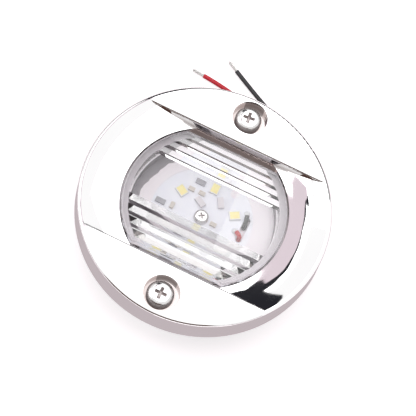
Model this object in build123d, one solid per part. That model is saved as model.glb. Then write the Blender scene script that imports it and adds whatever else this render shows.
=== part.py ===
from build123d import *
import math
import os

# A round, flush-mounting navigation light for a boat: a cast stainless bezel with a
# dished light channel, and a sealed LED module held behind it.
# The light lies face up. +Z is the way it shines, +X runs along the light channel,
# +Y points to the upper mounting screw. The origin is under the middle of the housing,
# on the plane the housing's rear face stands on. Units are millimetres.

# ---- driving dimensions ----
BEZEL_D = 76.0          # outside diameter of the bezel at its rear edge
BEZEL_H = 9.5           # bezel, rear edge to face
BEZEL_DRAFT = 0.5       # how much the side of the bezel leans in
EDGE_R = 1.0            # rounding of the bezel's outer edge
CHANNEL_HALF = 21.8     # half the width of the light channel
CHANNEL_EDGE_R = 0.8    # rounding along the channel's two straight edges
DISH_R = 36.3           # radius where the dished floor meets the face
DISH_MID_R = 31.0
DISH_MID_DROP = 2.4     # floor below the face at the middle radius
DISH_LIP = 5.9          # the dished floor's inner edge, above the bezel's rear plane
CHANNEL_FLOOR = 3.1     # flat floor beside the lens, above the bezel's rear plane
LENS_R = 24.9           # lens side wall, round part
LENS_FLAT = 20.0        # lens side wall, half the distance between its flats
LENS_WALL = 2.4
LENS_FLAT_WALL = 0.7    # thinner along the two flats
LENS_TOP = 6.5          # lens top above the bezel's rear plane
LENS_PLATE = 1.8        # thickness of the lens top
LENS_CORNER = 1.5
LENS_GAP = 0.3          # lens wall to the edge of the opening
UPPER_RIBS = (9.1, 12.0, 14.7, 17.2, 19.3)      # edges of the ribs, from the middle outwards
LOWER_RIBS = (5.9, 9.1, 12.4, 15.7, 19.0)
RIB_OUTER_ANGLE = 51.0  # slope of a rib's side away from the middle, then of its other side
UPPER_INNER_ANGLE = 47.0
LOWER_INNER_ANGLE = 52.0
MODULE_R = 27.4         # flange of the lens
MODULE_FLAT = 25.9
FLANGE_T = 1.2
BOND_T = 0.3            # adhesive between the lens flange and the housing
SEAL_T = 0.8
SEAT = 2.2              # seat for the seal above the bezel's rear plane
HOUSING_R = 25.4
HOUSING_WALL = 3.2
HOUSING_DEPTH = 12.0    # housing behind the mounting face
HOUSING_FLOOR = 1.8
GASKET_T = 1.5
MOUNT_SPACING = 61.6    # between the two mounting screws
MOUNT_NECK_R = 2.0
MOUNT_THREAD_R = 2.1
MOUNT_HEAD_R = 4.0
MOUNT_HEAD_H = 2.4
MOUNT_SCREW_L = 19.0
MOUNT_HOLE_CLEARANCE = 0.5
COUNTERBORE_R = 5.4
COUNTERBORE_DEPTH = 2.7
COUNTERBORE_SHIFT = 0.35
CLAMP_R = 29.2          # pitch radius of the four screws that hold the module
CLAMP_ANGLE = 28.0
CLAMP_SHANK_R = 1.45
CLAMP_HEAD_R = 2.7
CLAMP_HEAD_H = 1.2
CLAMP_SCREW_L = 4.0
SCREW_CLEARANCE = 0.05
BOARD_R = 15.8
BOARD_T = 1.6
BOARD_TOP = -4.0        # board face from the bezel's rear plane
LED_RING = 10.2
LED_L = 3.5
LED_W = 2.8
LED_H = 0.7
POST_R = 3.2
BOARD_SCREW_R = 1.2
WIRE_R = 0.7
WIRE_PITCH = 2.0
STRAND_R = 0.45
STRIP_L = 4.0

# ---- levels above the ground plane ----
REAR = HOUSING_DEPTH                    # rear face of the gasket, the mounting face
BACK = REAR + GASKET_T                  # rear plane of the bezel
FACE = BACK + BEZEL_H
LENS_Z = BACK + LENS_TOP
PLATE_Z = LENS_Z - LENS_PLATE
SEAT_Z = BACK + SEAT
FLANGE_TOP = SEAT_Z - SEAL_T
FLANGE_Z = FLANGE_TOP - FLANGE_T
HOUSING_TOP = FLANGE_Z - BOND_T
BOARD_Z = BACK + BOARD_TOP
BOARD_LOW = BOARD_Z - BOARD_T
CAVITY_R = HOUSING_R - HOUSING_WALL
HEAD_SEAT = FACE - COUNTERBORE_DEPTH
MOUNT_Y = MOUNT_SPACING / 2
POTTING_TOP = BOARD_Z + 0.2

# ---- pocket at the rear of the housing where the leads leave ----
POCKET_X = -2.0
POCKET_Y = -12.5
POCKET_H = 5.0
WALL = 1.8
GLAND_Y = -18.4
GLAND_Z = 2.7
GLAND_W = 5.2
GLAND_H = 3.4
GLAND_LIP = 1.2
GLAND_LIP_GROW = 0.5
LEAD_X = POCKET_X + GLAND_LIP           # where the leads come out of the gland
RED_Y = GLAND_Y + WIRE_PITCH / 2
BLACK_Y = GLAND_Y - WIRE_PITCH / 2
LEAD_Z = WIRE_R + 0.04                  # leads lying on the ground plane

# ---- routes of the two leads outside the housing ----
RED_ROUTE = (
    (LEAD_X, RED_Y, GLAND_Z),
    (23.5, -20.2, LEAD_Z),
    (32.6, 4.4, LEAD_Z),
    (21.2, 25.2, LEAD_Z),
    (3.0, 46.5, LEAD_Z),
    (-20.3, 48.5, LEAD_Z),
)
BLACK_ROUTE = (
    (LEAD_X, BLACK_Y, GLAND_Z),
    (25.5, -22.2, LEAD_Z),
    (34.9, 4.7, LEAD_Z),
    (24.2, 28.0, LEAD_Z),
    (14.5, 42.3, LEAD_Z),
    (-0.5, 49.0, LEAD_Z),
    (-11.5, 55.15, LEAD_Z),
)

# ---- places on the board, from its middle ----
SLOT_X = 13.0
SLOT_Y = 2.1
SLOT_W = 1.9
SLOT_L = 8.6
PLUG_X = 6.2
PLUG_Y = 11.7
PLUG_R = 1.5
RESISTORS = ((-4.8, 10.2, 0.0), (-13.2, -0.9, 0.0), (5.2, -11.0, 0.0))
DIODES = ((-2.3, 4.2, -30.0), (3.4, 6.8, 120.0))
CAPACITORS = ((-6.4, 6.9, 0.0), (-3.0, 7.0, 0.0), (-9.4, -0.6, 90.0), (4.2, -0.6, 0.0))
CHIP = (-4.2, -6.4, 0.0)
RED_PAD = (10.9, 0.7)
BLACK_PAD = (12.0, 7.4)


def flatted(radius, flat, corner=0.0):
    """A circle with two flats parallel to X."""
    shape = Circle(radius) & Rectangle(2 * radius + 2, 2 * flat)
    if corner:
        shape = fillet(shape.vertices(), corner)
    return shape


def prism(shape, low, high):
    return extrude(Pos(0, 0, low) * shape, high - low)


def rod(x, y, low, high, radius):
    return Pos(x, y, low) * Cylinder(radius, high - low, align=(Align.CENTER, Align.CENTER, Align.MIN))


def block(x0, x1, y0, y1, z0, z1):
    return Pos(x0, y0, z0) * Box(x1 - x0, y1 - y0, z1 - z0, align=(Align.MIN, Align.MIN, Align.MIN))


def spun(*edges):
    return revolve(make_face(Wire(edges)), Axis.Z)


def clamp_places():
    for side in (0.0, 180.0):
        for turn in (-CLAMP_ANGLE, CLAMP_ANGLE):
            angle = math.radians(side + turn)
            yield CLAMP_R * math.cos(angle), CLAMP_R * math.sin(angle)


def ring_places(radius, count, first):
    for i in range(count):
        angle = first + 360.0 / count * i
        yield radius * math.cos(math.radians(angle)), radius * math.sin(math.radians(angle)), angle


def cross_recess(top, arm, width, depth, turn):
    """The Phillips recess of a screw head, narrowing as it goes down."""
    arms = Rectangle(2 * arm, width) + Rectangle(width, 2 * arm)
    tip = Rectangle(0.9 * arm, 0.6 * width) + Rectangle(0.6 * width, 0.9 * arm)
    return Rot(0, 0, turn) * loft([Pos(0, 0, top) * arms.face(), Pos(0, 0, top - depth) * tip.face()])


def pan_head(low, radius, height):
    """A pan head standing on z = low, with a domed top."""
    side = 0.45 * height
    top = low + height
    return spun(
        Line((0, 0, low), (radius, 0, low)),
        Line((radius, 0, low), (radius, 0, low + side)),
        ThreePointArc(
            (radius, 0, low + side),
            (0.82 * radius, 0, low + 0.86 * height),
            (0.45 * radius, 0, top),
        ),
        Line((0.45 * radius, 0, top), (0, 0, top)),
        Line((0, 0, top), (0, 0, low)),
    )


def smoothed(points):
    """A route whose corners are arcs taking 0.45 of the shorter run, and their radii."""
    radii = []
    for a, b, c in zip(points, points[1:], points[2:]):
        before = Vector(*b) - Vector(*a)
        after = Vector(*c) - Vector(*b)
        half = math.radians(before.get_angle(after)) / 2
        radii.append(0.45 * min(before.length, after.length) / math.tan(half))
    return FilletPolyline(*points, radius=radii), radii


def tube(points, radius, name=None):
    path, radii = smoothed(points)
    if name:
        print(name, "arc radii", [round(x, 1) for x in radii], "length", round(path.length, 1))
    section = Plane(origin=path @ 0, z_dir=path % 0) * Circle(radius)
    body = sweep(section, path=path)
    if name:
        print(name, "volume", round(body.volume, 2), "of", round(math.pi * radius**2 * path.length, 2))
    return body


def bezel():
    r = BEZEL_D / 2
    inset = BEZEL_DRAFT
    body = spun(
        Line((0, 0, BACK), (r, 0, BACK)),
        Line((r, 0, BACK), (r - inset, 0, FACE - EDGE_R)),
        ThreePointArc(
            (r - inset, 0, FACE - EDGE_R),
            (r - inset - 0.3 * EDGE_R, 0, FACE - 0.3 * EDGE_R),
            (r - inset - EDGE_R, 0, FACE),
        ),
        Line((r - inset - EDGE_R, 0, FACE), (0, 0, FACE)),
        Line((0, 0, FACE), (0, 0, BACK)),
    )
    # the dished channel, between two straight walls with rounded edges
    high = FACE + 3
    floor = BACK + CHANNEL_FLOOR
    lip = BACK + DISH_LIP
    mouth = LENS_R + LENS_GAP
    dish = spun(
        Line((0, 0, floor), (mouth, 0, floor)),
        Line((mouth, 0, floor), (mouth, 0, lip)),
        ThreePointArc((mouth, 0, lip), (DISH_MID_R, 0, FACE - DISH_MID_DROP), (DISH_R, 0, FACE)),
        Line((DISH_R, 0, FACE), (DISH_R, 0, high)),
        Line((DISH_R, 0, high), (0, 0, high)),
        Line((0, 0, high), (0, 0, floor)),
    )
    w = CHANNEL_HALF
    e = CHANNEL_EDGE_R
    k = e * (1 - math.sqrt(0.5))
    sides = Wire(
        [
            Line((0, -w, BACK), (0, -w, FACE - e)),
            ThreePointArc((0, -w, FACE - e), (0, -w - k, FACE - k), (0, -w - e, FACE)),
            Line((0, -w - e, FACE), (0, -w - e, high)),
            Line((0, -w - e, high), (0, w + e, high)),
            Line((0, w + e, high), (0, w + e, FACE)),
            ThreePointArc((0, w + e, FACE), (0, w + k, FACE - k), (0, w, FACE - e)),
            Line((0, w, FACE - e), (0, w, BACK)),
            Line((0, w, BACK), (0, -w, BACK)),
        ]
    )
    slab = extrude(make_face(sides), BEZEL_D / 2, dir=(1, 0, 0), both=True)
    body -= dish & slab
    # opening for the lens, and the pocket behind it for the seal and the lens flange
    body -= prism(flatted(LENS_R + LENS_GAP, LENS_FLAT + LENS_GAP, LENS_CORNER), BACK - 1, FACE + 1)
    body -= prism(flatted(MODULE_R + 0.3, MODULE_FLAT + 0.25), BACK - 1, SEAT_Z)
    # hollow between the rim and the pocket, with bosses left for the screws
    hollow = prism(Circle(BEZEL_D / 2 - 2.4) - Circle(MODULE_R + 2.0), BACK - 1, BACK + 4.4)
    for x, y in clamp_places():
        hollow -= rod(x, y, BACK - 2, FACE, CLAMP_HEAD_R + 0.3)
    for s in (-1, 1):
        hollow -= rod(0, s * MOUNT_Y, BACK - 2, FACE, MOUNT_HEAD_R + 1.2)
    body -= hollow
    for x, y in clamp_places():
        body -= rod(x, y, BACK - 1, FLANGE_Z, CLAMP_HEAD_R + 0.3)
        body -= rod(x, y, BACK - 1, FLANGE_Z + CLAMP_SCREW_L + 0.2, CLAMP_SHANK_R + SCREW_CLEARANCE)
    for s in (-1, 1):
        body -= rod(0, s * MOUNT_Y, BACK - 1, FACE + 1, MOUNT_NECK_R + MOUNT_HOLE_CLEARANCE)
        body -= rod(COUNTERBORE_SHIFT, s * MOUNT_Y, HEAD_SEAT, FACE + 1, COUNTERBORE_R)
    return body


def lens():
    body = prism(flatted(MODULE_R, MODULE_FLAT), FLANGE_Z, FLANGE_TOP)
    outline = Pos(0, 0, FLANGE_TOP) * flatted(LENS_R, LENS_FLAT, LENS_CORNER)
    body += extrude(outline, LENS_Z - FLANGE_TOP, taper=3.0)
    top = body.faces().sort_by(Axis.Z)[-1]
    body = fillet(top.edges(), 0.7)
    hollow = flatted(LENS_R - LENS_WALL, LENS_FLAT - LENS_FLAT_WALL)
    body -= prism(hollow, FLANGE_Z - 1, PLATE_Z)
    # ridged ribs under the top plate, on both sides of the plain window
    space = prism(hollow, FLANGE_Z, PLATE_Z + 0.5)
    groups = ((1, UPPER_RIBS, UPPER_INNER_ANGLE), (-1, LOWER_RIBS, LOWER_INNER_ANGLE))
    for side, edges, angle in groups:
        for near, far in zip(edges, edges[1:]):
            body += rib(side, near, far, angle) & space
    return body


def rib(side, near, far, angle):
    """One ridge under the lens top, hanging between two lines parallel to X."""
    outer = math.tan(math.radians(RIB_OUTER_ANGLE))
    inner = math.tan(math.radians(angle))
    depth = (far - near) / (1 / outer + 1 / inner)
    ridge = Polyline(
        (0, side * near, PLATE_Z + 0.5),
        (0, side * near, PLATE_Z),
        (0, side * (near + depth / inner), PLATE_Z - depth),
        (0, side * far, PLATE_Z),
        (0, side * far, PLATE_Z + 0.5),
        close=True,
    )
    return extrude(make_face(ridge), LENS_R, dir=(1, 0, 0), both=True)


def lens_bond():
    return prism(Circle(HOUSING_R) - Circle(CAVITY_R), HOUSING_TOP, FLANGE_Z)


def lens_seal():
    ring = flatted(MODULE_R, MODULE_FLAT) - flatted(LENS_R, LENS_FLAT, LENS_CORNER)
    return prism(ring, FLANGE_TOP, SEAT_Z)


def pocket(grow):
    """The open corner at the rear of the housing; grow is the wall kept around it."""
    r = HOUSING_R + 2
    return block(POCKET_X - grow, r, -r, POCKET_Y + grow, -1, POCKET_H + grow)


def cavity():
    return rod(0, 0, HOUSING_FLOOR, HOUSING_TOP, CAVITY_R) - pocket(WALL)


def gland_shape(width, height, x0, x1):
    shape = Plane(origin=(x0, GLAND_Y, GLAND_Z), x_dir=(0, 1, 0), z_dir=(1, 0, 0))
    return extrude(shape * SlotOverall(width, height), x1 - x0)


def rear_housing():
    body = rod(0, 0, 0, HOUSING_TOP, HOUSING_R) - pocket(0.0)
    body = chamfer(body.edges().group_by(Axis.Z)[0].filter_by(GeomType.CIRCLE), 0.8)
    body -= cavity()
    body += rod(0, 0, HOUSING_FLOOR - 0.5, BOARD_LOW, POST_R)
    body -= rod(0, 0, BOARD_LOW - 5.2, BOARD_LOW + 1, BOARD_SCREW_R + SCREW_CLEARANCE)
    body -= gland_shape(GLAND_W, GLAND_H, POCKET_X - WALL - GLAND_LIP, POCKET_X)
    return body


def board_slot():
    return Pos(SLOT_X, SLOT_Y) * Rot(0, 0, 90) * SlotOverall(SLOT_L, SLOT_W)


def led_board():
    shape = Circle(BOARD_R) - board_slot() - Pos(PLUG_X, PLUG_Y) * Circle(PLUG_R)
    shape -= Circle(BOARD_SCREW_R + 0.2)
    return prism(shape, BOARD_LOW, BOARD_Z)


def stub_routes():
    """The leads inside the housing, from their pads through the slot to the gland."""
    low = GLAND_Z
    over = BOARD_LOW - 2.9
    red = (
        (RED_PAD[0] + 0.5, RED_PAD[1] - 0.2, BOARD_Z + WIRE_R + 0.1),
        (SLOT_X, SLOT_Y - 2.6, BOARD_Z + WIRE_R + 0.1),
        (SLOT_X + 0.1, SLOT_Y - 3.2, low),
        (0.0, -8.4, low),
        (-8.0, -9.5, low),
        (-9.0, RED_Y, low),
        (LEAD_X, RED_Y, low),
    )
    black = (
        (BLACK_PAD[0] + 0.3, BLACK_PAD[1] - 0.8, BOARD_Z + WIRE_R + 0.1),
        (SLOT_X, SLOT_Y + 1.6, BOARD_Z + WIRE_R),
        (SLOT_X - 0.1, SLOT_Y + 0.8, over),
        (0.0, -5.5, over),
        (-13.0, -7.0, over),
        (-16.6, -12.0, low + 0.4),
        (-10.6, BLACK_Y, low),
        (LEAD_X, BLACK_Y, low),
    )
    return red, black


def potting(stubs):
    body = cavity()
    body -= rod(0, 0, POTTING_TOP, FLANGE_Z + 1, CAVITY_R + 1)
    body -= rod(0, 0, BOARD_LOW, FLANGE_Z, BOARD_R)
    body -= rod(0, 0, 0, BOARD_LOW, POST_R)
    body += rod(PLUG_X, PLUG_Y, BOARD_LOW - 0.5, BOARD_Z + 0.1, PLUG_R)
    for stub in stubs:
        body -= stub
    body -= gland_shape(GLAND_W, GLAND_H, POCKET_X - WALL - GLAND_LIP, POCKET_X)
    return body


def lead_gland(stubs):
    body = gland_shape(GLAND_W, GLAND_H, POCKET_X - WALL - GLAND_LIP, LEAD_X)
    body += gland_shape(GLAND_W + 2 * GLAND_LIP_GROW, GLAND_H + 2 * GLAND_LIP_GROW, POCKET_X, LEAD_X)
    for stub in stubs:
        body -= stub
    return body


def led_packages():
    parts = []
    for x, y, angle in ring_places(LED_RING, 6, 30.0):
        body = Pos(0, 0, BOARD_Z + LED_H / 2) * Box(LED_L, LED_W, LED_H)
        body -= Pos(0, 0, BOARD_Z + LED_H) * Box(LED_L - 0.6, LED_W - 0.6, 0.7)
        parts.append(Pos(x, y, 0) * Rot(0, 0, angle) * body)
    return Compound(children=parts)


def led_phosphors():
    parts = []
    for x, y, angle in ring_places(LED_RING, 6, 30.0):
        body = Pos(0, 0, BOARD_Z + LED_H - 0.175) * Box(LED_L - 0.6, LED_W - 0.6, 0.35)
        parts.append(Pos(x, y, 0) * Rot(0, 0, angle) * body)
    return Compound(children=parts)


def chips(places, length, width, height):
    parts = []
    for x, y, angle in places:
        body = Pos(x, y, BOARD_Z) * Rot(0, 0, angle)
        parts.append(body * Box(length, width, height, align=(Align.CENTER, Align.CENTER, Align.MIN)))
    return Compound(children=parts)


def solder_joints():
    parts = []
    for x, y in (RED_PAD, BLACK_PAD):
        dome = Pos(x, y, BOARD_Z - 0.35) * Sphere(1.05)
        parts.append(dome & block(x - 2, x + 2, y - 2, y + 2, BOARD_Z, BOARD_Z + 2))
    return parts


def board_screw():
    body = Pos(0, 0, 0) * pan_head(BOARD_Z, 2.3, 1.5)
    body += rod(0, 0, BOARD_LOW - 4.6, BOARD_Z + 0.2, BOARD_SCREW_R)
    return body - cross_recess(BOARD_Z + 1.5, 1.35, 0.6, 0.9, 35.0)


def mounting_screw(side, turn):
    low = HEAD_SEAT - MOUNT_SCREW_L
    body = pan_head(HEAD_SEAT, MOUNT_HEAD_R, MOUNT_HEAD_H)
    body += rod(0, 0, REAR, HEAD_SEAT + 0.5, MOUNT_NECK_R)
    body += rod(0, 0, low + 3.0, REAR, MOUNT_THREAD_R)
    body += Pos(0, 0, low) * Cone(0.3, MOUNT_THREAD_R, 3.0, align=(Align.CENTER, Align.CENTER, Align.MIN))
    body -= cross_recess(HEAD_SEAT + MOUNT_HEAD_H, 2.35, 1.0, 1.5, turn)
    return Pos(0, side * MOUNT_Y, 0) * body


def clamp_screws():
    parts = []
    for x, y in clamp_places():
        body = Rot(180, 0, 0) * pan_head(0, CLAMP_HEAD_R, CLAMP_HEAD_H)
        body += rod(0, 0, -0.3, CLAMP_SCREW_L, CLAMP_SHANK_R)
        body -= Rot(180, 0, 0) * cross_recess(CLAMP_HEAD_H, 1.6, 0.7, 0.8, 20.0)
        parts.append(Pos(x, y, FLANGE_Z) * body)
    return Compound(children=parts)


def mounting_gasket():
    shape = Circle(BEZEL_D / 2 - 1.6) - Circle(HOUSING_R + 1.0)
    for x, y in clamp_places():
        shape -= Pos(x, y) * Circle(CLAMP_HEAD_R + 0.5)
    for s in (-1, 1):
        shape -= Pos(0, s * MOUNT_Y) * Circle(MOUNT_THREAD_R + 0.7)
    return prism(shape, REAR, BACK)


def strand(route):
    """The bare tinned end of a lead, straight on from its last run."""
    a, b = Vector(*route[-2]), Vector(*route[-1])
    way = (b - a).normalized()
    return Plane(origin=b, z_dir=way) * Cylinder(
        STRAND_R, STRIP_L, align=(Align.CENTER, Align.CENTER, Align.MIN)
    )


red_route, black_route = stub_routes()
red_stub = tube(red_route, WIRE_R)
black_stub = tube(black_route, WIRE_R)
stubs = [red_stub, black_stub]
joints = solder_joints()
for stub in stubs:
    joints = [joint - stub for joint in joints]

nodes = {
    "bezel": bezel(),
    "lens": lens(),
    "lens_bond": lens_bond(),
    "lens_seal": lens_seal(),
    "rear_housing": rear_housing(),
    "potting": potting(stubs),
    "led_board": led_board(),
    "led_packages": led_packages(),
    "led_phosphors": led_phosphors(),
    "resistors": chips(RESISTORS, 3.1, 1.6, 0.6),
    "diodes": chips(DIODES, 3.4, 1.8, 1.0),
    "capacitors": chips(CAPACITORS, 2.0, 1.25, 0.8),
    "driver_chip": chips([CHIP], 4.0, 3.0, 1.4),
    "solder_joints": Compound(children=joints),
    "board_screw": board_screw(),
    "mounting_screw_upper": mounting_screw(1, 7.0),
    "mounting_screw_lower": mounting_screw(-1, 1.0),
    "clamp_screws": clamp_screws(),
    "mounting_gasket": mounting_gasket(),
    "lead_gland": lead_gland(stubs),
    "lead_stub_red": red_stub,
    "lead_stub_black": black_stub,
    "lead_red": tube(RED_ROUTE, WIRE_R, "lead_red"),
    "lead_black": tube(BLACK_ROUTE, WIRE_R, "lead_black"),
    "lead_end_red": strand(RED_ROUTE),
    "lead_end_black": strand(BLACK_ROUTE),
}

os.makedirs("parts", exist_ok=True)
for name, shape in nodes.items():
    export_step(shape, f"parts/{name}.step")
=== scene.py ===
"""Looks, light and camera for the navigation light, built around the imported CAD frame."""

import bmesh
import bpy
import math
from mathutils import Matrix, Vector

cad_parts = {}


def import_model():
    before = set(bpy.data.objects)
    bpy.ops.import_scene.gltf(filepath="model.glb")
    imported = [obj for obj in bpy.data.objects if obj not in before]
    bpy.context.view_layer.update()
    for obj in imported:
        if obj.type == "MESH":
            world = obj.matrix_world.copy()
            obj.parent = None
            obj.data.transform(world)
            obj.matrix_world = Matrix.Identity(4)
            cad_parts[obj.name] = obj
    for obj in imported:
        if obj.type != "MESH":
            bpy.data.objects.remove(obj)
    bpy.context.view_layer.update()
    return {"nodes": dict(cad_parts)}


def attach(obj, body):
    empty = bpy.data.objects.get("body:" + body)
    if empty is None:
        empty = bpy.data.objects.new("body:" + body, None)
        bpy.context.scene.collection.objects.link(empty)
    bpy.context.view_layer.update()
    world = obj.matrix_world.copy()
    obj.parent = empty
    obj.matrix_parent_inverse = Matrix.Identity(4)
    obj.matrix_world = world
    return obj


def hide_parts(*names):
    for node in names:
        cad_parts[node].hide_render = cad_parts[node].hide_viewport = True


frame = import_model()
nodes = frame["nodes"]
scene = bpy.context.scene
BODY = "light"
MM = 0.001

# ---------------------------------------------------------------- camera
# The photograph's camera in the frame's axes: its place, and its right, up and backward directions.
CAMERA_PLACE = Vector((0.01673, -0.13551, 0.35340))
CAMERA_RIGHT = Vector((0.9002, 0.4166, 0.1267))
CAMERA_UP = Vector((-0.4333, 0.8279, 0.3562))
CAMERA_BACK = Vector((0.0435, -0.3756, 0.9258))
CAMERA_LENS = 106.275  # focal length for a sensor SENSOR_WIDTH wide, both in millimetres
SENSOR_WIDTH = 36.0

cam_data = bpy.data.cameras.new("camera")
cam_data.sensor_width = SENSOR_WIDTH
cam_data.lens = CAMERA_LENS
cam = bpy.data.objects.new("camera", cam_data)
scene.collection.objects.link(cam)
turn = Matrix((CAMERA_RIGHT, CAMERA_UP, CAMERA_BACK)).transposed().to_4x4()
cam.matrix_world = Matrix.Translation(CAMERA_PLACE) @ turn
scene.camera = cam


# ---------------------------------------------------------------- leads
WIRE_D = 1.4 * MM
LEAD_Z = 0.74  # height of a lead that lies on the table, in millimetres like the routes

RED_ROUTE = [
    (-0.8, -17.4, 2.7),
    (23.5, -20.2, LEAD_Z),
    (32.6, 4.4, LEAD_Z),
    (21.2, 25.2, LEAD_Z),
    (3.0, 46.5, LEAD_Z),
    (-20.3, 48.5, LEAD_Z),
]
BLACK_ROUTE = [
    (-0.8, -19.4, 2.7),
    (25.5, -22.2, LEAD_Z),
    (34.9, 4.7, LEAD_Z),
    (24.2, 28.0, LEAD_Z),
    (14.5, 42.3, LEAD_Z),
    (-0.5, 49.0, LEAD_Z),
    (-11.5, 55.15, LEAD_Z),
]


def lead(name, route):
    """A wire along its route. Its thickness is the points' radius, which keeps the curve's box true."""
    curve = bpy.data.curves.new(name, "CURVE")
    curve.dimensions = "3D"
    curve.bevel_depth = 1.0
    curve.bevel_resolution = 8
    curve.resolution_u = 24
    curve.use_fill_caps = True
    spline = curve.splines.new("NURBS")
    spline.points.add(len(route) - 1)
    for point, (x, y, z) in zip(spline.points, route):
        point.co = (x * MM, y * MM, z * MM, 1.0)
        point.radius = WIRE_D / 2
    spline.order_u = 3
    spline.use_endpoint_u = True
    obj = bpy.data.objects.new(name, curve)
    scene.collection.objects.link(obj)
    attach(obj, BODY)
    return obj


lead_red = lead("lead_red_wire", RED_ROUTE)
lead_black = lead("lead_black_wire", BLACK_ROUTE)
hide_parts("lead_red")
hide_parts("lead_black")


# ---------------------------------------------------------------- materials
class Mat:
    """A node material: one Principled shader, with colour, roughness and bump from noise."""

    def __init__(self, name, colour, roughness=0.5, metallic=0.0, **sockets):
        self.m = bpy.data.materials.new(name)
        self.m.use_nodes = True
        self.t = self.m.node_tree
        self.t.nodes.clear()
        self.out = self.node("ShaderNodeOutputMaterial")
        self.bsdf = self.node("ShaderNodeBsdfPrincipled")
        self.set("Base Color", (*colour, 1.0))
        self.set("Roughness", roughness)
        self.set("Metallic", metallic)
        for key, value in sockets.items():
            self.set(key.replace("_", " "), value)
        self.link(self.bsdf.outputs[0], self.out.inputs["Surface"])
        self.normal = None

    def node(self, kind, **props):
        n = self.t.nodes.new(kind)
        for key, value in props.items():
            setattr(n, key, value)
        return n

    def link(self, a, b):
        self.t.links.new(a, b)

    def set(self, socket, value):
        self.bsdf.inputs[socket].default_value = value

    def coords(self):
        return self.node("ShaderNodeTexCoord").outputs["Object"]

    def noise(self, scale, detail=3.0, stretch=None):
        n = self.node("ShaderNodeTexNoise")
        n.inputs["Scale"].default_value = scale
        n.inputs["Detail"].default_value = detail
        source = self.coords()
        if stretch:
            mapping = self.node("ShaderNodeMapping")
            mapping.inputs["Scale"].default_value = stretch
            self.link(source, mapping.inputs["Vector"])
            source = mapping.outputs[0]
        self.link(source, n.inputs["Vector"])
        return n.outputs["Fac"]

    def ramp(self, source, low, high, start=0.3, end=0.7):
        r = self.node("ShaderNodeMapRange")
        r.inputs["From Min"].default_value = start
        r.inputs["From Max"].default_value = end
        r.inputs["To Min"].default_value = low
        r.inputs["To Max"].default_value = high
        self.link(source, r.inputs["Value"])
        return r.outputs["Result"]

    def math(self, operation, a, b):
        n = self.node("ShaderNodeMath", operation=operation)
        for socket, value in zip(n.inputs, (a, b)):
            if isinstance(value, float):
                socket.default_value = value
            else:
                self.link(value, socket)
        return n.outputs[0]

    def vary_colour(self, source, a, b, start=0.3, end=0.7):
        r = self.node("ShaderNodeValToRGB")
        r.color_ramp.elements[0].position = start
        r.color_ramp.elements[1].position = end
        r.color_ramp.elements[0].color = (*a, 1.0)
        r.color_ramp.elements[1].color = (*b, 1.0)
        self.link(source, r.inputs["Fac"])
        self.link(r.outputs["Color"], self.bsdf.inputs["Base Color"])

    def vary_roughness(self, source, low, high, start=0.3, end=0.7):
        self.link(self.ramp(source, low, high, start, end), self.bsdf.inputs["Roughness"])

    def bump(self, source, depth, strength=1.0):
        b = self.node("ShaderNodeBump")
        b.inputs["Distance"].default_value = depth
        b.inputs["Strength"].default_value = strength
        self.link(source, b.inputs["Height"])
        if self.normal:
            self.link(self.normal, b.inputs["Normal"])
        self.normal = b.outputs["Normal"]
        self.link(self.normal, self.bsdf.inputs["Normal"])


def srgb(r, g, b):
    """Linear colour of a display colour from 0 to 255."""

    def lin(v):
        v /= 255.0
        return v / 12.92 if v <= 0.04045 else ((v + 0.055) / 1.055) ** 2.4

    return (lin(r), lin(g), lin(b))


def paint_occlusion_shade(m, distance, dark, low, high):
    """Paint shade into a metal's colour where little of its surroundings can be seen, as in recesses and
    joints.
    """
    ao = m.node("ShaderNodeAmbientOcclusion", samples=8, only_local=False)
    ao.inputs["Distance"].default_value = distance
    mix = m.node("ShaderNodeMixRGB")
    mix.inputs["Color1"].default_value = (*dark, 1.0)
    base = m.bsdf.inputs["Base Color"]
    m.link(base.links[0].from_socket, mix.inputs["Color2"])
    m.link(m.ramp(ao.outputs["AO"], 0.0, 1.0, low, high), mix.inputs["Fac"])
    m.link(mix.outputs["Color"], base)
    return ao.outputs["AO"]


def steel():
    """Mirror-polished stainless steel, with painted shade in its recesses and joints."""
    m = Mat("polished_stainless", (0.97, 0.96, 0.965), 0.035, 1.0)
    m.vary_colour(m.noise(60.0), (0.965, 0.955, 0.96), (0.985, 0.98, 0.982))
    m.vary_roughness(m.noise(220.0, 4.0), 0.02, 0.06)
    m.bump(m.noise(45.0, 1.0), 0.02 * MM, 0.25)
    # Painted shade: the steel's colour darkens to brown-grey in recesses, joints and near walls, where
    # little of the surroundings can be seen.
    paint_occlusion_shade(m, 6.0 * MM, (0.36, 0.31, 0.30), 0.3, 0.8)
    return m.m


THREAD_TOP = 17.5 * MM
THREAD_START = 0.5 * MM
THREAD_DEPTH = 0.4 * MM
THREAD_BANDS = 209.0  # Wave scale that gives a thread every 1.5 mm
SHUT_IN = 0.4  # shares of open surroundings between which a screw goes from dull to bright: from painted shade and a rough surface to its plain colour and shine
OPEN = 0.9


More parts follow.
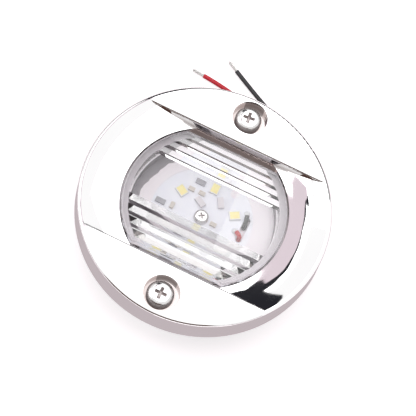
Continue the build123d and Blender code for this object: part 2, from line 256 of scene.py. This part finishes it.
def screw_steel(name, threaded=False):
    """Plain stainless with painted shade where it is shut in, rougher there too, and thread relief on a
    mounting screw's shank.
    """
    m = Mat(name, (0.80, 0.79, 0.785), 0.12, 1.0)
    m.vary_colour(m.noise(400.0), (0.76, 0.75, 0.74), (0.83, 0.82, 0.82))
    m.bump(m.noise(700.0), 0.02 * MM, 0.3)
    if threaded:
        wave = m.node("ShaderNodeTexWave", bands_direction="Z")
        wave.inputs["Scale"].default_value = THREAD_BANDS
        m.link(m.coords(), wave.inputs["Vector"])
        place = m.node("ShaderNodeSeparateXYZ")
        m.link(m.coords(), place.inputs[0])
        shank = m.ramp(place.outputs["Z"], 1.0, 0.0, THREAD_TOP - THREAD_START, THREAD_TOP)
        m.bump(m.math("MULTIPLY", wave.outputs["Fac"], shank), THREAD_DEPTH)
    # Painted shade: the screw's colour darkens to grey-brown where it is shut in.
    openness = paint_occlusion_shade(m, 3.0 * MM, (0.60, 0.55, 0.545), SHUT_IN, OPEN)
    grain = m.ramp(m.noise(900.0, 4.0), 0.08, 0.2)
    shut_in = m.ramp(openness, 0.7, 0.0, SHUT_IN, OPEN)
    m.link(m.math("MAXIMUM", grain, shut_in), m.bsdf.inputs["Roughness"])
    return m.m


def plastic(name, a, b, rough=(0.35, 0.5), grain=900.0, depth=0.03 * MM, scale=150.0):
    """Any matt or satin piece: a colour between a and b, a roughness range and a fine grain."""
    m = Mat(name, a, rough[0])
    m.vary_colour(m.noise(scale, 4.0), a, b)
    m.vary_roughness(m.noise(scale * 2, 3.0), *rough)
    m.bump(m.noise(grain, 2.0), depth, 0.5)
    return m.m


RESIN_EDGE = 23.8 * MM  # distance from the middle at which the resin gives way to the wall
RESIN_EDGE_SOFT = 0.3 * MM
RESIN_WAVE = 2.8 * MM
RESIN_LEAN_X = -0.14  # brings the edge nearer the middle towards -X and +Y, and darkens the painted shade there
RESIN_LEAN_Y = 0.09
# Lean values over which the painted shade past the resin's edge goes from light grey to mid grey.
WALL_SHADE_FROM = -1.0 * MM
WALL_SHADE_TO = 2.0 * MM


def potting_resin():
    """White resin up to a wavy edge where it climbs the housing wall; past that edge its colour is painted
    shade, a grey that darkens towards -X and +Y.
    """
    m = Mat("potting_resin", (0.9, 0.87, 0.88), 0.4)
    m.vary_roughness(m.noise(240.0, 3.0), 0.3, 0.5)
    m.bump(m.noise(250.0, 2.0), 0.3 * MM, 0.5)
    tint = m.node("ShaderNodeValToRGB")
    tint.color_ramp.elements[0].color = (*srgb(240, 231, 236), 1.0)
    tint.color_ramp.elements[1].color = (*srgb(255, 248, 252), 1.0)
    m.link(m.noise(120.0, 4.0), tint.inputs["Fac"])
    place = m.node("ShaderNodeSeparateXYZ")
    m.link(m.coords(), place.inputs[0])
    lean_x = m.math("MULTIPLY", place.outputs["X"], RESIN_LEAN_X)
    lean_y = m.math("MULTIPLY", place.outputs["Y"], RESIN_LEAN_Y)
    flat = m.node("ShaderNodeCombineXYZ")
    m.link(place.outputs["X"], flat.inputs["X"])
    m.link(place.outputs["Y"], flat.inputs["Y"])
    size = m.node("ShaderNodeVectorMath", operation="LENGTH")
    m.link(flat.outputs[0], size.inputs[0])
    wave = m.math("MULTIPLY", m.noise(230.0, 2.0), RESIN_WAVE)
    lean = m.math("ADD", lean_x, lean_y)
    reach = m.math("ADD", size.outputs["Value"], m.math("ADD", wave, lean))
    edge = m.ramp(reach, 0.0, 1.0, RESIN_EDGE, RESIN_EDGE + RESIN_EDGE_SOFT)
    # Painted shade past the resin's edge: light grey to mid grey, darker towards -X and +Y.
    wall = m.node("ShaderNodeValToRGB")
    wall.color_ramp.elements[0].color = (*srgb(205, 200, 208), 1.0)
    wall.color_ramp.elements[1].color = (*srgb(128, 122, 128), 1.0)
    m.link(m.ramp(lean, 0.0, 1.0, WALL_SHADE_FROM, WALL_SHADE_TO), wall.inputs["Fac"])
    mix = m.node("ShaderNodeMixRGB")
    m.link(edge, mix.inputs["Fac"])
    m.link(tint.outputs["Color"], mix.inputs["Color1"])
    m.link(wall.outputs["Color"], mix.inputs["Color2"])
    m.link(mix.outputs["Color"], m.bsdf.inputs["Base Color"])
    return m.m


def clear_lens():
    """Clear polycarbonate: refracts what is seen, and lets lamp and diffuse light in to the board."""
    m = Mat("clear_polycarbonate", (1.0, 1.0, 1.0), 0.02, 0.0, IOR=1.585, Transmission_Weight=1.0)
    m.vary_colour(m.noise(30.0), (0.985, 0.985, 0.99), (1.0, 1.0, 1.0))
    m.vary_roughness(m.noise(120.0), 0.0, 0.025)
    path = m.node("ShaderNodeLightPath")
    both = m.node("ShaderNodeMath", operation="MAXIMUM")
    m.link(path.outputs["Is Shadow Ray"], both.inputs[0])
    m.link(path.outputs["Is Diffuse Ray"], both.inputs[1])
    clear = m.node("ShaderNodeBsdfTransparent")
    clear.inputs["Color"].default_value = (0.97, 0.97, 0.975, 1.0)
    mix = m.node("ShaderNodeMixShader")
    m.link(both.outputs[0], mix.inputs[0])
    m.link(m.bsdf.outputs[0], mix.inputs[1])
    m.link(clear.outputs[0], mix.inputs[2])
    m.link(mix.outputs[0], m.out.inputs["Surface"])
    return m.m


def dress(name, material):
    mesh = nodes[name].data
    mesh.materials.clear()
    mesh.materials.append(material)
    for p in mesh.polygons:
        p.material_index = 0


SOFT = (0.4, 0.6)  # roughness ranges
SATIN = (0.35, 0.5)
WIRE_SHINE = (0.32, 0.42)
RUBBER = (0.5, 0.7)

red_pvc = plastic("pvc_red", srgb(196, 22, 40), srgb(214, 34, 52), WIRE_SHINE, depth=0.02 * MM)
black_pvc = plastic("pvc_black", srgb(34, 34, 37), srgb(46, 46, 49), WIRE_SHINE, depth=0.02 * MM)
lead_red.data.materials.append(red_pvc)
lead_black.data.materials.append(black_pvc)

LOOKS = {
    "bezel": steel(),
    "lens": clear_lens(),
    "lens_bond": plastic("bond_silicone", srgb(240, 233, 237), srgb(250, 244, 248), SOFT),
    "lens_seal": plastic("seal_silicone", srgb(226, 220, 224), srgb(240, 234, 238), SOFT),
    "rear_housing": plastic(
        "moulded_housing", srgb(108, 102, 108), srgb(124, 118, 124), SATIN, grain=1500.0, depth=0.04 * MM
    ),
    "potting": potting_resin(),
    "led_board": plastic(
        "board_solder_mask",
        srgb(238, 238, 247),
        srgb(246, 246, 252),
        (0.3, 0.42),
        grain=600.0,
        depth=0.02 * MM,
        scale=200.0,
    ),
    "led_packages": plastic("led_body_white", (0.82, 0.81, 0.80), (0.86, 0.85, 0.85), (0.35, 0.45)),
    "led_phosphors": plastic("led_phosphor_gel", srgb(252, 232, 150), srgb(255, 244, 170), (0.25, 0.35)),
    "resistors": plastic("resistor_film", srgb(152, 150, 157), srgb(174, 172, 179), (0.4, 0.5)),
    "diodes": plastic("diode_epoxy", srgb(222, 216, 220), srgb(236, 230, 234), SATIN),
    "capacitors": plastic("capacitor_ceramic", srgb(206, 196, 186), srgb(222, 214, 206), SATIN),
    "driver_chip": plastic("chip_epoxy", srgb(52, 52, 54), srgb(62, 62, 64), (0.45, 0.6)),
    "solder_joints": plastic("solder_tin", srgb(225, 225, 228), srgb(240, 240, 240), (0.2, 0.35)),
    "board_screw": screw_steel("board_screw_steel"),
    "mounting_screw_upper": screw_steel("mounting_screw_steel_a", threaded=True),
    "mounting_screw_lower": screw_steel("mounting_screw_steel_b", threaded=True),
    "clamp_screws": screw_steel("clamp_screw_steel"),
    "mounting_gasket": plastic(
        "gasket_neoprene",
        (0.016, 0.016, 0.017),
        (0.028, 0.028, 0.028),
        (0.6, 0.8),
        grain=700.0,
        depth=0.1 * MM,
    ),
    "lead_gland": plastic("gland_rubber_black", (0.015, 0.015, 0.016), (0.024, 0.024, 0.024), RUBBER),
    "lead_stub_red": red_pvc,
    "lead_stub_black": black_pvc,
}
for node_name, look in LOOKS.items():
    dress(node_name, look)


# ---------------------------------------------------------------- new pieces
def mesh_piece(name, build, material, replaced):
    """A smooth mesh that rides on the light and stands for one CAD node."""
    bm = bmesh.new()
    build(bm)
    bmesh.ops.recalc_face_normals(bm, faces=bm.faces)
    mesh = bpy.data.meshes.new(name)
    bm.to_mesh(mesh)
    bm.free()
    for p in mesh.polygons:
        p.use_smooth = True
    mesh.materials.append(material)
    obj = bpy.data.objects.new(name, mesh)
    scene.collection.objects.link(obj)
    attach(obj, BODY)
    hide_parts(replaced)
    return obj


SWEEP_SIDES = 10


def sweep(bm, line, radius):
    """A closed tube along a list of points."""
    rings = []
    for i, p in enumerate(line):
        way = (line[min(i + 1, len(line) - 1)] - line[max(i - 1, 0)]).normalized()
        side = way.cross(Vector((0, 0, 1)))
        side.normalize()
        high = side.cross(way)
        ring = []
        for k in range(SWEEP_SIDES):
            a = 2 * math.pi * k / SWEEP_SIDES
            ring.append(bm.verts.new(p + radius * (math.cos(a) * side + math.sin(a) * high)))
        rings.append(ring)
    for a, b in zip(rings, rings[1:]):
        for k in range(SWEEP_SIDES):
            after = (k + 1) % SWEEP_SIDES
            bm.faces.new((a[k], a[after], b[after], b[k]))
    bm.faces.new(rings[0])
    bm.faces.new(rings[-1])


STRIP = 4.0 * MM
STRAND_COUNT = 7
STRAND_D = 0.3 * MM
STRAND_FULLER = 1.02  # strands this much thicker than their pitch, so that they touch
STRAND_STEPS = 24
STRAND_SHORTER = 0.05  # how uneven the cut ends are, as a share of the strip
STRAND_SPREAD = 0.25  # how far every other strand splays out at its end
TURN_PITCH = 5.0 * MM


def strands(route):
    """The twisted, slightly splayed strands at a lead's stripped end: one straight, the rest round it."""
    before, end = (Vector(p) * MM for p in route[-2:])
    way = (end - before).normalized()
    side = way.cross(Vector((0, 0, 1))).normalized()
    high = side.cross(way)

    def build(bm):
        for k in range(STRAND_COUNT):
            line = []
            wide = 0.0 if k == 0 else STRAND_D
            reach = STRIP * (1.0 - STRAND_SHORTER * (k % 3))
            for i in range(STRAND_STEPS + 1):
                t = i / STRAND_STEPS
                turn = 2 * math.pi * (k / (STRAND_COUNT - 1) + t * reach / TURN_PITCH)
                loose = wide * (1.0 + STRAND_SPREAD * t * (k % 2))
                out = math.cos(turn) * side + math.sin(turn) * high
                line.append(end + way * (t * reach) + loose * out)
            sweep(bm, line, STRAND_D / 2 * STRAND_FULLER)

    return build


tinned = Mat("tinned_copper_strands", (0.74, 0.73, 0.71), 0.25, 1.0)
tinned.vary_colour(tinned.noise(1500.0), (0.66, 0.65, 0.63), (0.82, 0.81, 0.8))
tinned.vary_roughness(tinned.noise(900.0), 0.18, 0.35)
end_red = mesh_piece("strands_red", strands(RED_ROUTE), tinned.m, "lead_end_red")
end_black = mesh_piece("strands_black", strands(BLACK_ROUTE), tinned.m, "lead_end_black")


# ---------------------------------------------------------------- floor, light and world
FLOOR_SIZE = 4.0
FLOOR_COLOUR = (0.8, 0.72, 0.75)
FLOOR_GLOW = 0.62  # with the lamps' light on it, this brings the open floor to white
WORLD_LIGHT = 0.5
WHITE = (1.0, 1.0, 1.0)


def node_tree(owner):
    """An empty node tree on a material or world."""
    owner.use_nodes = True
    owner.node_tree.nodes.clear()
    return owner.node_tree


def sees_background(t):
    """1 for camera, glossy and transmission rays, which see the white background, and 0 for the rest."""
    path = t.nodes.new("ShaderNodeLightPath")
    seen = path.outputs["Is Camera Ray"]
    for name in ("Is Glossy Ray", "Is Transmission Ray"):
        both = t.nodes.new("ShaderNodeMath")
        both.operation = "MAXIMUM"
        t.links.new(seen, both.inputs[0])
        t.links.new(path.outputs[name], both.inputs[1])
        seen = both.outputs[0]
    return seen


def floor():
    """A pale table that keeps the light's shadow and is white to the camera and in reflections."""
    bpy.ops.mesh.primitive_plane_add(size=FLOOR_SIZE, location=(0, 0, 0))
    plane = bpy.context.object
    plane.name = "floor"
    m = bpy.data.materials.new("floor_white")
    t = node_tree(m)
    diffuse = t.nodes.new("ShaderNodeBsdfDiffuse")
    diffuse.inputs["Color"].default_value = (*FLOOR_COLOUR, 1.0)
    strength = t.nodes.new("ShaderNodeMath")
    strength.operation = "MULTIPLY"
    strength.inputs[1].default_value = FLOOR_GLOW
    t.links.new(sees_background(t), strength.inputs[0])
    glow = t.nodes.new("ShaderNodeEmission")
    glow.inputs["Color"].default_value = (*WHITE, 1.0)
    t.links.new(strength.outputs[0], glow.inputs["Strength"])
    add = t.nodes.new("ShaderNodeAddShader")
    t.links.new(diffuse.outputs[0], add.inputs[0])
    t.links.new(glow.outputs[0], add.inputs[1])
    out = t.nodes.new("ShaderNodeOutputMaterial")
    t.links.new(add.outputs[0], out.inputs["Surface"])
    plane.data.materials.append(m)


def softbox(name, place, size, power):
    """A white area lamp that faces the origin."""
    data = bpy.data.lights.new(name, "AREA")
    data.shape = "RECTANGLE"
    data.size, data.size_y = size
    data.energy = power
    lamp = bpy.data.objects.new(name, data)
    scene.collection.objects.link(lamp)
    lamp.location = place
    lamp.rotation_mode = "QUATERNION"
    lamp.rotation_quaternion = (-Vector(place)).to_track_quat("-Z", "Y")


def world():
    """White to the camera and in reflections; a plain level of soft light on everything else."""
    studio = bpy.data.worlds.new("studio")
    scene.world = studio
    t = node_tree(studio)
    light = t.nodes.new("ShaderNodeBackground")
    light.inputs["Color"].default_value = (*WHITE, 1.0)
    light.inputs["Strength"].default_value = WORLD_LIGHT
    white = t.nodes.new("ShaderNodeBackground")
    white.inputs["Color"].default_value = (*WHITE, 1.0)
    white.inputs["Strength"].default_value = 1.0
    mix = t.nodes.new("ShaderNodeMixShader")
    t.links.new(sees_background(t), mix.inputs[0])
    t.links.new(light.outputs[0], mix.inputs[1])
    t.links.new(white.outputs[0], mix.inputs[2])
    out = t.nodes.new("ShaderNodeOutputWorld")
    t.links.new(mix.outputs[0], out.inputs["Surface"])


floor()
softbox("softbox_over", (0.0, 0.25, 0.8), (1.0, 0.8), 3.3)
softbox("softbox_left", (-0.7, -0.1, 0.6), (0.6, 0.6), 1.3)
world()


# ---------------------------------------------------------------- glowing cards, seen only in reflections, that paint reflections on the polished metal
CARD_R = 0.55  # distance of the standing cards from the origin
CARD_ROWS = 6
CARD_STEP = 4.0  # widest column of a standing card, in degrees
TABLE_CARD_R = 0.1
TABLE_CARD_LIFT = 0.1 * MM
TABLE_CARD_SIDES = 64

BLACK = (0.02, 0.02, 0.025)
DARK_GREY = (0.03, 0.028, 0.03)
DARK_BROWN = (0.09, 0.05, 0.038)
GREY = (0.30, 0.26, 0.27)
ROSY_GREY = (0.53, 0.465, 0.485)
PALE_ROSE = (0.75, 0.65, 0.70)


def card(name, bm, colour):
    """A glowing piece, no lamp, seen by glossy rays only, that paints a reflection in one colour."""
    mesh = bpy.data.meshes.new(name)
    bm.to_mesh(mesh)
    bm.free()
    m = bpy.data.materials.new(name)
    t = node_tree(m)
    glow = t.nodes.new("ShaderNodeEmission")
    glow.inputs["Color"].default_value = (*colour, 1.0)
    out = t.nodes.new("ShaderNodeOutputMaterial")
    t.links.new(glow.outputs[0], out.inputs["Surface"])
    mesh.materials.append(m)
    obj = bpy.data.objects.new(name, mesh)
    scene.collection.objects.link(obj)
    obj.visible_camera = False
    obj.visible_diffuse = False
    obj.visible_transmission = False
    obj.visible_shadow = False


def table_card():
    """A rosy card at table height round the light, seen only in reflections: it paints a rosy-grey
    reflection on the side of the bezel.
    """
    bm = bmesh.new()
    bmesh.ops.create_circle(bm, cap_ends=True, segments=TABLE_CARD_SIDES, radius=TABLE_CARD_R)
    bmesh.ops.translate(bm, verts=bm.verts, vec=(0, 0, TABLE_CARD_LIFT))
    card("card_table", bm, ROSY_GREY)


def standing_card(name, stations, colour):
    """A card on a sphere round the light.

    Each station is an azimuth with the card's lowest and highest elevation there, in degrees.
    """
    edges = []
    for (a, low_a, high_a), (b, low_b, high_b) in zip(stations, stations[1:]):
        steps = math.ceil((b - a) / CARD_STEP)
        for i in range(steps):
            t = i / steps
            edges.append((a + t * (b - a), low_a + t * (low_b - low_a), high_a + t * (high_b - high_a)))
    edges.append(stations[-1])
    bm = bmesh.new()
    columns = []
    for azimuth, low, high in edges:
        column = []
        for row in range(CARD_ROWS + 1):
            a = math.radians(azimuth)
            e = math.radians(low + (high - low) * row / CARD_ROWS)
            place = Vector((math.cos(a) * math.cos(e), math.sin(a) * math.cos(e), math.sin(e)))
            column.append(bm.verts.new(CARD_R * place))
        columns.append(column)
    for here, after in zip(columns, columns[1:]):
        for k in range(CARD_ROWS):
            bm.faces.new((here[k], after[k], after[k + 1], here[k + 1]))
    card(name, bm, colour)


table_card()
# Dark cards low round the light: painted dark reflections on the bezel's edges and walls.
standing_card(
    "card_front",
    [(200, -1, 10), (230, -1, 10), (236, -1, 40), (304, -1, 44), (310, -1, 10), (335, -1, 10)],
    DARK_BROWN,
)
standing_card("card_back", [(50, -1, 22), (100, -1, 24), (150, -1, 16)], DARK_GREY)
standing_card("card_left", [(150, -1, 14), (200, -1, 14)], GREY)
# Painted reflections on the bezel: the rosy patch along the right side of the lens, the dark line outside
# it and the dark patch at its foot.
standing_card(
    "card_patch",
    [
        (92, 64.8, 71.3), (104, 64.5, 71.3), (108, 64, 71.3), (112, 60, 71.3), (116, 58, 71.3),
        (120, 53.5, 71.3), (125, 53.5, 71.8), (128, 54, 72.3), (131, 56.5, 72.8), (134, 58, 73.5),
        (138, 61, 73.5), (141, 63, 73.5), (145, 64, 73.5), (149, 65.5, 73.5), (154, 66, 73),
        (160, 65, 71.5), (167, 65.5, 67.5),
    ],
    PALE_ROSE,
)
standing_card(
    "card_band",
    [
        (112, 52, 60), (116, 50, 58), (120, 46.5, 53.5), (125, 48, 53.5), (128, 50.5, 54),
        (131, 51.5, 56.5), (134, 55.5, 58), (138, 58.5, 61), (141, 61.5, 63), (145, 62.5, 64),
        (149, 63, 65.5), (154, 65, 66), (158, 62, 65.4), (163, 64.5, 65.3),
    ],
    BLACK,
)
standing_card(
    "card_blob",
    [(104, 46, 57), (110, 36, 57), (116, 22, 54), (122, 17, 47), (127, 20, 38), (131, 27, 31)],
    BLACK,
)

# ---------------------------------------------------------------- finish
scene.view_settings.view_transform = "Standard"
